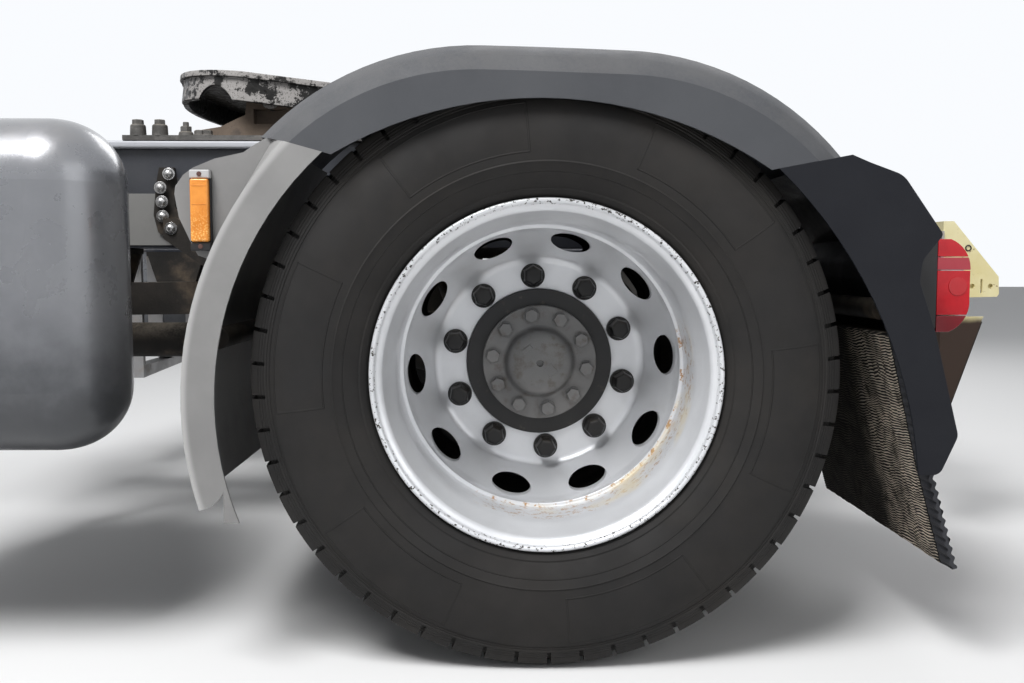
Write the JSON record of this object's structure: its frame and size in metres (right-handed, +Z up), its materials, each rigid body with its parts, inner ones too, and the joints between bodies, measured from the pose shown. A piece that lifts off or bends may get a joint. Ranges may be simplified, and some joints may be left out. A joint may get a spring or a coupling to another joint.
{
  "type": "tractor unit rear chassis section",
  "caption": "Rear end of a road tractor's chassis: twin drive wheels on a sprung axle, mudguards with flaps and lamps, a tilting fifth wheel coupling, side tanks and a wheel chock.",
  "frame": {"origin": "middle of the front crossmember's front face, on the plane where the frame is cut", "axes": "+X forward along the frame, +Y to the vehicle's left, +Z up"},
  "size_m": [2.628, 2.536, 1.1808],
  "materials": {
    "frame_paint": "dark blue-black chassis paint, dusty",
    "axle_paint": "matt black chassis paint with road dirt",
    "coupling_cast": "greasy black casting",
    "pedestal_cast": "brown-grey casting, lightly rusted",
    "guard_plastic": "grained charcoal plastic",
    "flap_rubber": "ribbed rubber with dried mud",
    "bellows_rubber": "matt rubber",
    "lamp_plastic": "black plastic",
    "lens_amber": "moulded amber lens",
    "lens_red": "moulded red lens",
    "tank_paint": "glossy metallic grey",
    "strap_metal": "dull steel",
    "chock_paint": "pale yellow paint, worn at its edges",
    "tyre_rubber": "dusty dark rubber",
    "rim_paint": "silver paint, chipped at the flange",
    "hub_paint": "black paint",
    "hub_cast": "grey casting",
    "cap_plastic": "black plastic caps"
  },
  "bodies": {
    "chassis": {"frame_rails": "frame_paint", "front_crossmember": "frame_paint", "mid_crossmember": "frame_paint", "rear_crossmember": "frame_paint", "coupling_mount_plate": "frame_paint", "coupling_pedestals": "pedestal_cast", "drive_axle": "axle_paint", "final_drive": "axle_paint", "spring_hangers": "axle_paint", "suspension_beams": "axle_paint", "air_bellows": "bellows_rubber", "shock_absorbers": "axle_paint", "v_rod": "axle_paint", "anti_roll_bar": "axle_paint", "brake_calipers": "axle_paint", "mudguard_top": "guard_plastic", "mudguard_front": "guard_plastic", "mudguard_rear": "guard_plastic", "mudflaps": "flap_rubber", "mudguard_arms": "axle_paint", "marker_lamp_bodies": "lamp_plastic", "marker_lamp_lenses": "lens_amber", "tail_lamp_bodies": "lamp_plastic", "tail_lamp_lenses": "lens_red", "side_tanks": "tank_paint", "tank_brackets": "strap_metal", "wheel_chock": "chock_paint", "chock_holder": "strap_metal", "flap_clamps": "axle_paint", "shaft_bearing": "axle_paint"},
    "coupling_top": {"coupling_plate": "coupling_cast", "coupling_lock": "coupling_cast"},
    "driveline": {"propeller_shaft": "axle_paint"},
    "wheels_left": {"tyres_left": "tyre_rubber", "rim_outer_left": "rim_paint", "rim_inner_left": "rim_paint", "hub_left": "hub_paint", "shaft_flange_left": "hub_cast", "wheel_nuts_left": "cap_plastic"},
    "wheels_right": {"tyres_right": "tyre_rubber", "rim_outer_right": "rim_paint", "rim_inner_right": "rim_paint", "hub_right": "hub_paint", "shaft_flange_right": "hub_cast", "wheel_nuts_right": "cap_plastic"}
  },
  "joints": [
    {"name": "wheels_left_spin", "type": "hinge", "parent": "chassis", "child": "wheels_left", "pos_m": [-1.48, 1, -0.36], "axis": [0, 1, 0], "continuous": true},
    {"name": "wheels_right_spin", "type": "hinge", "parent": "chassis", "child": "wheels_right", "pos_m": [-1.48, -1, -0.36], "axis": [0, 1, 0], "continuous": true},
    {"name": "coupling_tilt", "type": "hinge", "parent": "chassis", "child": "coupling_top", "pos_m": [-0.845, 0, 0.232], "axis": [0, 1, 0], "range_deg": [0, 18]},
    {"name": "propeller_shaft_spin", "type": "hinge", "parent": "chassis", "child": "driveline", "pos_m": [-1.12, 0, -0.385], "axis": [1, 0, 0], "continuous": true}
  ]
}
